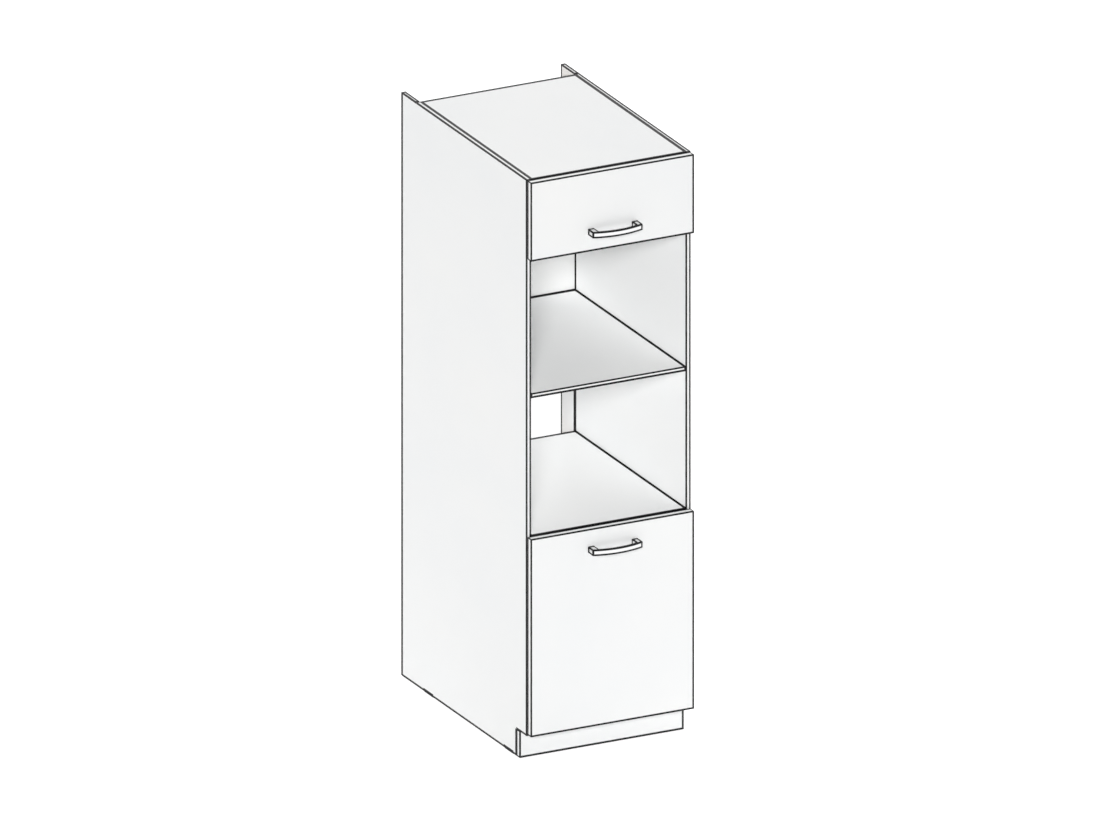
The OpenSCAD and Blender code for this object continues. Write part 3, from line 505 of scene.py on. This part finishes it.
def dress_fittings():
    """Gives the fittings the metals, plastics, wood and lacquer that they share."""
    nickel = plated("satin_nickel", (0.56, 0.565, 0.57), (0.74, 0.74, 0.735), (0.16, 0.30))
    zinc = plated("bright_zinc", (0.46, 0.48, 0.51), (0.66, 0.675, 0.69), (0.24, 0.42))
    burnished = plated("burnished_steel", (0.34, 0.345, 0.355), (0.52, 0.52, 0.53), (0.28, 0.45))
    ground = plated("ground_rod", (0.80, 0.80, 0.81), (0.90, 0.90, 0.90), (0.08, 0.16), relief=0.1)
    white_plastic = moulded("white_plastic", (0.80, 0.80, 0.785))
    soft_bumper = moulded("soft_bumper", (0.70, 0.71, 0.71), (0.3, 0.4))
    black_plastic = moulded("black_plastic", (0.022, 0.022, 0.024))
    by_material = {
        nickel: both("hinge_arms", "hinge_cups", "handle_screws"),
        zinc: both("hinge_plates", "outer_links", "inner_links")
        + ["shelf_pins", "cams", "cam_bolts", "plinth_screws", "wall_brackets", "wall_bracket_screws",
           "strut_side_brackets", "strut_flap_brackets"],
        burnished: both("hinge_pins", "plate_screws", "cup_pins", "cup_screws")
        + ["strut_side_screws", "strut_flap_screws"],
        ground: ["strut_rod_left", "strut_rod_right"],
        white_plastic: ["plinth_blocks"],
        black_plastic: ["glides"],
        soft_bumper: both("bumpers"),
        beech(): ["dowels"],
        black_lacquer(): ["strut_tube_left", "strut_tube_right"],
    }
    for material, names in by_material.items():
        for name in names:
            dress(name, material)


def seen_rays(tree):
    """1 for the rays that see the studio: from the camera, off glossy faces and through clear ones."""
    rays = tree.nodes.new("ShaderNodeLightPath")
    seen = rays.outputs["Is Camera Ray"]
    for kind in ("Is Glossy Ray", "Is Transmission Ray"):
        either = tree.nodes.new("ShaderNodeMath")
        either.operation = "MAXIMUM"
        tree.links.new(seen, either.inputs[0])
        tree.links.new(rays.outputs[kind], either.inputs[1])
        seen = either.outputs[0]
    return seen


def floor():
    """A wide plain floor that keeps the shadow and looks white to the camera."""
    mesh = bpy.data.meshes.new("studio_floor")
    corners = [(x * FLOOR_HALF, y * FLOOR_HALF, 0) for x, y in ((-1, -1), (1, -1), (1, 1), (-1, 1))]
    mesh.from_pydata(corners, [], [(0, 1, 2, 3)])
    plane = bpy.data.objects.new("studio_floor", mesh)
    bpy.context.scene.collection.objects.link(plane)
    shader = Shader("studio_floor", Roughness=0.9, Specular_IOR_Level=0.1)
    cloud = shader.spread(shader.noise(1.2, 2))
    shader.set("Base Color", shader.mix(cloud, (0.90, 0.90, 0.90), (0.92, 0.92, 0.92)))
    shader.set("Emission Color", WHITE_LIGHT)
    shader.set("Emission Strength", shader.product(seen_rays(shader.tree), FLOOR_GLOW))
    mesh.materials.append(shader.material)


def world():
    """White to the rays that see it, and a weak light from all round to the others."""
    studio = bpy.data.worlds.new("studio")
    bpy.context.scene.world = studio
    studio.use_nodes = True
    tree = studio.node_tree
    tree.nodes.clear()
    mix = tree.nodes.new("ShaderNodeMixShader")
    tree.links.new(seen_rays(tree), mix.inputs[0])
    backgrounds = ((COOL_LIGHT, AMBIENT), (WHITE_LIGHT, 1.0))
    for socket, (colour, strength) in zip(mix.inputs[1:], backgrounds):
        background = tree.nodes.new("ShaderNodeBackground")
        background.inputs["Color"].default_value = colour
        background.inputs["Strength"].default_value = strength
        tree.links.new(background.outputs[0], socket)
    out = tree.nodes.new("ShaderNodeOutputWorld")
    tree.links.new(mix.outputs[0], out.inputs[0])


def sun(name, towards, strength, angle):
    """A soft distant lamp. towards points from the object to the lamp, and angle is its width in degrees."""
    lamp = bpy.data.lights.new(name, "SUN")
    lamp.energy = strength
    lamp.angle = math.radians(angle)
    item = bpy.data.objects.new(name, lamp)
    bpy.context.scene.collection.objects.link(item)
    item.rotation_euler = Vector(towards).to_track_quat("Z", "Y").to_euler()
    item.location = Vector(towards).normalized() * LAMP_DISTANCE


def camera():
    """A parallel camera that shows width, depth and height at one scale, as the oblique drawing does.

    Its axes aren't square to each other for that. Right is a step to the right in the image, up is a step up
    in the image, and look is the way that the camera looks."""
    data = bpy.data.cameras.new("drawing_view")
    data.type = "ORTHO"
    data.ortho_scale = VIEW_WIDTH
    data.clip_end = VIEW_REACH
    item = bpy.data.objects.new("drawing_view", data)
    bpy.context.scene.collection.objects.link(item)
    # How far a step along x, y and z goes to the right and up in the drawing
    width = math.radians(WIDTH_ANGLE)
    depth = math.radians(DEPTH_ANGLE)
    across = Vector((math.cos(width), -math.cos(depth), 0.0))
    upward = Vector((math.sin(width), math.sin(depth), 1.0))
    look = upward.cross(across).normalized()
    up = across.cross(look).normalized()
    right = look.cross(upward)
    right *= up.dot(upward) / right.dot(across)
    # The renderer takes axes of length 1. What right lacks is added along look: the image stays as it is.
    right += look * math.sqrt(1.0 - right.length_squared)
    place = VIEW_CENTRE - look * VIEW_DISTANCE
    skew = Matrix.Identity(4)
    for column, axis in enumerate((right, up, -look, place)):
        for row in range(3):
            skew[row][column] = axis[row]
    # An object's own transform can't hold a skew, so it goes into the inverse of a parent
    holder = bpy.data.objects.new("drawing_view_holder", None)
    bpy.context.scene.collection.objects.link(holder)
    item.parent = holder
    item.matrix_parent_inverse = skew
    bpy.context.scene.camera = item


dress_boards_and_handles()
dress_fittings()
floor()
world()
sun("key", towards=(-0.56, -0.67, 0.49), strength=2.6, angle=14)
sun("left", towards=(-0.95, 0.10, 0.30), strength=0.22, angle=60)
sun("fill", towards=(0.95, 0.0, 0.28), strength=0.85, angle=60)
sun("rear", towards=(0.35, 0.60, 0.80), strength=1.25, angle=70)
camera()
bpy.context.scene.view_settings.view_transform = "Standard"
